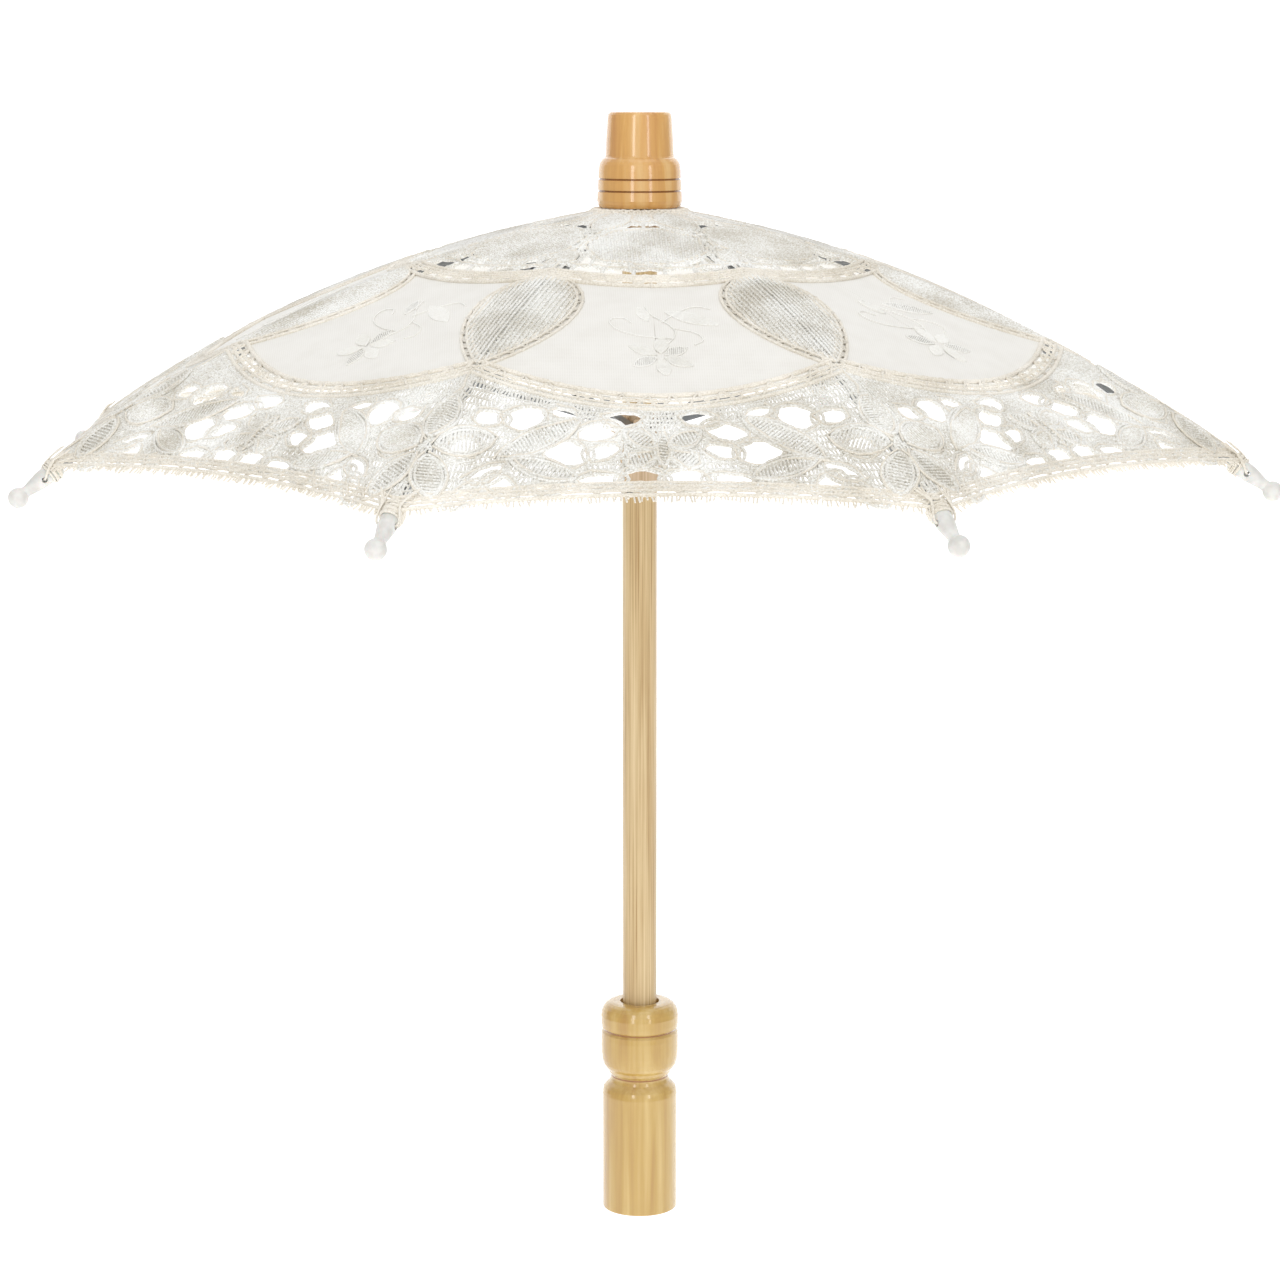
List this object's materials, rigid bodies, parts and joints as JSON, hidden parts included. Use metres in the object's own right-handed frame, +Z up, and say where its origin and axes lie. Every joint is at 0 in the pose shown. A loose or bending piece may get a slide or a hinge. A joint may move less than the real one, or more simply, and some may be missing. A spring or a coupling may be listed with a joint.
{
  "type": "lace parasol",
  "caption": "Small hand-held parasol: turned wooden handle, shaft and finial, folding steel rib frame with sliding runner, and an ivory lace canopy.",
  "frame": {"origin": "centre of the handle's flat bottom", "axes": "+Z up the shaft towards the finial, -Y towards the front, with a rib 22.5 degrees to each side of it"},
  "size_m": [0.3482, 0.3482, 0.33],
  "materials": {
    "shaft_wood": "smooth round bamboo rod, clear satin varnish",
    "handle_wood": "turned pale wood, clear gloss varnish",
    "finial_wood": "turned honey wood, clear gloss varnish",
    "runner_wood": "turned light tan wood, satin",
    "rib_steel": "bright formed strip",
    "stretcher_steel": "bright formed strip",
    "wire_steel": "drawn wire",
    "catch_steel": "dark spring steel",
    "tip_plastic": "moulded white, soft gloss",
    "canopy_cloth": "ivory cotton panels and tape lace"
  },
  "bodies": {
    "shaft_set": {"shaft": "shaft_wood", "handle": "handle_wood", "finial": "finial_wood", "top_notch": "runner_wood", "notch_wire": "wire_steel", "stop_pin": "wire_steel", "catch_pin": "wire_steel", "canopy_crown": "canopy_cloth"},
    "rib_arm_1": {"rib_1": "rib_steel", "rib_tip_1": "tip_plastic", "bracket_1": "rib_steel", "rivet_1": "wire_steel", "canopy_1": "canopy_cloth"},
    "stretcher_arm_1": {"stretcher_1": "stretcher_steel"},
    "rib_arm_2": {"rib_2": "rib_steel", "rib_tip_2": "tip_plastic", "bracket_2": "rib_steel", "rivet_2": "wire_steel", "canopy_2": "canopy_cloth"},
    "stretcher_arm_2": {"stretcher_2": "stretcher_steel"},
    "rib_arm_3": {"rib_3": "rib_steel", "rib_tip_3": "tip_plastic", "bracket_3": "rib_steel", "rivet_3": "wire_steel", "canopy_3": "canopy_cloth"},
    "stretcher_arm_3": {"stretcher_3": "stretcher_steel"},
    "rib_arm_4": {"rib_4": "rib_steel", "rib_tip_4": "tip_plastic", "bracket_4": "rib_steel", "rivet_4": "wire_steel", "canopy_4": "canopy_cloth"},
    "stretcher_arm_4": {"stretcher_4": "stretcher_steel"},
    "rib_arm_5": {"rib_5": "rib_steel", "rib_tip_5": "tip_plastic", "bracket_5": "rib_steel", "rivet_5": "wire_steel", "canopy_5": "canopy_cloth"},
    "stretcher_arm_5": {"stretcher_5": "stretcher_steel"},
    "rib_arm_6": {"rib_6": "rib_steel", "rib_tip_6": "tip_plastic", "bracket_6": "rib_steel", "rivet_6": "wire_steel", "canopy_6": "canopy_cloth"},
    "stretcher_arm_6": {"stretcher_6": "stretcher_steel"},
    "rib_arm_7": {"rib_7": "rib_steel", "rib_tip_7": "tip_plastic", "bracket_7": "rib_steel", "rivet_7": "wire_steel", "canopy_7": "canopy_cloth"},
    "stretcher_arm_7": {"stretcher_7": "stretcher_steel"},
    "rib_arm_8": {"rib_8": "rib_steel", "rib_tip_8": "tip_plastic", "bracket_8": "rib_steel", "rivet_8": "wire_steel", "canopy_8": "canopy_cloth"},
    "stretcher_arm_8": {"stretcher_8": "stretcher_steel"},
    "runner_set": {"runner": "runner_wood", "runner_wire": "wire_steel"},
    "catch_set": {"spring_catch": "catch_steel"}
  },
  "joints": [
    {"name": "fold", "type": "hinge", "parent": "shaft_set", "child": "rib_arm_1", "pos_m": [-0.00276, -0.00665, 0.3], "axis": [0.9239, -0.3827, 0], "range_deg": [0, 65], "deforming": ["canopy_1", "spring_catch"]},
    {"name": "rib_fold_2", "type": "hinge", "parent": "shaft_set", "child": "rib_arm_2", "pos_m": [0.00276, -0.00665, 0.3], "axis": [0.9239, 0.3827, 0], "range_deg": [0, 65], "deforming": ["canopy_2"]},
    {"name": "rib_fold_3", "type": "hinge", "parent": "shaft_set", "child": "rib_arm_3", "pos_m": [0.00665, -0.00276, 0.3], "axis": [0.3827, 0.9239, 0], "range_deg": [0, 65], "deforming": ["canopy_3"]},
    {"name": "rib_fold_4", "type": "hinge", "parent": "shaft_set", "child": "rib_arm_4", "pos_m": [0.00665, 0.00276, 0.3], "axis": [-0.3827, 0.9239, 0], "range_deg": [0, 65], "deforming": ["canopy_4"]},
    {"name": "rib_fold_5", "type": "hinge", "parent": "shaft_set", "child": "rib_arm_5", "pos_m": [0.00276, 0.00665, 0.3], "axis": [-0.9239, 0.3827, 0], "range_deg": [0, 65], "deforming": ["canopy_5"]},
    {"name": "rib_fold_6", "type": "hinge", "parent": "shaft_set", "child": "rib_arm_6", "pos_m": [-0.00276, 0.00665, 0.3], "axis": [-0.9239, -0.3827, 0], "range_deg": [0, 65], "deforming": ["canopy_6"]},
    {"name": "rib_fold_7", "type": "hinge", "parent": "shaft_set", "child": "rib_arm_7", "pos_m": [-0.00665, 0.00276, 0.3], "axis": [-0.3827, -0.9239, 0], "range_deg": [0, 65], "deforming": ["canopy_7"]},
    {"name": "rib_fold_8", "type": "hinge", "parent": "shaft_set", "child": "rib_arm_8", "pos_m": [-0.00665, -0.00276, 0.3], "axis": [0.3827, -0.9239, 0], "range_deg": [0, 65], "deforming": ["canopy_8"]},
    {"name": "stretcher_turn_1", "type": "hinge", "parent": "rib_arm_1", "child": "stretcher_arm_1", "pos_m": [-0.03936, -0.09502, 0.26974], "axis": [0.9239, -0.3827, 0], "range_deg": [-130, 0]},
    {"name": "stretcher_turn_2", "type": "hinge", "parent": "rib_arm_2", "child": "stretcher_arm_2", "pos_m": [0.03936, -0.09502, 0.26974], "axis": [0.9239, 0.3827, 0], "range_deg": [-130, 0]},
    {"name": "stretcher_turn_3", "type": "hinge", "parent": "rib_arm_3", "child": "stretcher_arm_3", "pos_m": [0.09502, -0.03936, 0.26974], "axis": [0.3827, 0.9239, 0], "range_deg": [-130, 0]},
    {"name": "stretcher_turn_4", "type": "hinge", "parent": "rib_arm_4", "child": "stretcher_arm_4", "pos_m": [0.09502, 0.03936, 0.26974], "axis": [-0.3827, 0.9239, 0], "range_deg": [-130, 0]},
    {"name": "stretcher_turn_5", "type": "hinge", "parent": "rib_arm_5", "child": "stretcher_arm_5", "pos_m": [0.03936, 0.09502, 0.26974], "axis": [-0.9239, 0.3827, 0], "range_deg": [-130, 0]},
    {"name": "stretcher_turn_6", "type": "hinge", "parent": "rib_arm_6", "child": "stretcher_arm_6", "pos_m": [-0.03936, 0.09502, 0.26974], "axis": [-0.9239, -0.3827, 0], "range_deg": [-130, 0]},
    {"name": "stretcher_turn_7", "type": "hinge", "parent": "rib_arm_7", "child": "stretcher_arm_7", "pos_m": [-0.09502, 0.03936, 0.26974], "axis": [-0.3827, -0.9239, 0], "range_deg": [-130, 0]},
    {"name": "stretcher_turn_8", "type": "hinge", "parent": "rib_arm_8", "child": "stretcher_arm_8", "pos_m": [-0.09502, -0.03936, 0.26974], "axis": [0.3827, -0.9239, 0], "range_deg": [-130, 0]},
    {"name": "runner_turn", "type": "hinge", "parent": "stretcher_arm_1", "child": "runner_set", "pos_m": [-0.00276, -0.00665, 0.23947], "axis": [0.9239, -0.3827, 0], "range_deg": [0, 65]},
    {"name": "catch_press", "type": "hinge", "parent": "shaft_set", "child": "catch_set", "pos_m": [-0.00194, -0.00201, 0.2336], "axis": [0.7193, -0.6947, 0], "range_deg": [0, 5], "stiffness_Nm_per_rad": 0.02, "springref_deg": -4.58}
  ],
  "couplings": [
    {"joint": "rib_fold_2", "follows": "fold", "ratio": 1},
    {"joint": "rib_fold_3", "follows": "fold", "ratio": 1},
    {"joint": "rib_fold_4", "follows": "fold", "ratio": 1},
    {"joint": "rib_fold_5", "follows": "fold", "ratio": 1},
    {"joint": "rib_fold_6", "follows": "fold", "ratio": 1},
    {"joint": "rib_fold_7", "follows": "fold", "ratio": 1},
    {"joint": "rib_fold_8", "follows": "fold", "ratio": 1},
    {"joint": "stretcher_turn_1", "follows": "fold", "ratio": -2},
    {"joint": "stretcher_turn_2", "follows": "fold", "ratio": -2},
    {"joint": "stretcher_turn_3", "follows": "fold", "ratio": -2},
    {"joint": "stretcher_turn_4", "follows": "fold", "ratio": -2},
    {"joint": "stretcher_turn_5", "follows": "fold", "ratio": -2},
    {"joint": "stretcher_turn_6", "follows": "fold", "ratio": -2},
    {"joint": "stretcher_turn_7", "follows": "fold", "ratio": -2},
    {"joint": "stretcher_turn_8", "follows": "fold", "ratio": -2},
    {"joint": "runner_turn", "follows": "fold", "ratio": 1}
  ]
}
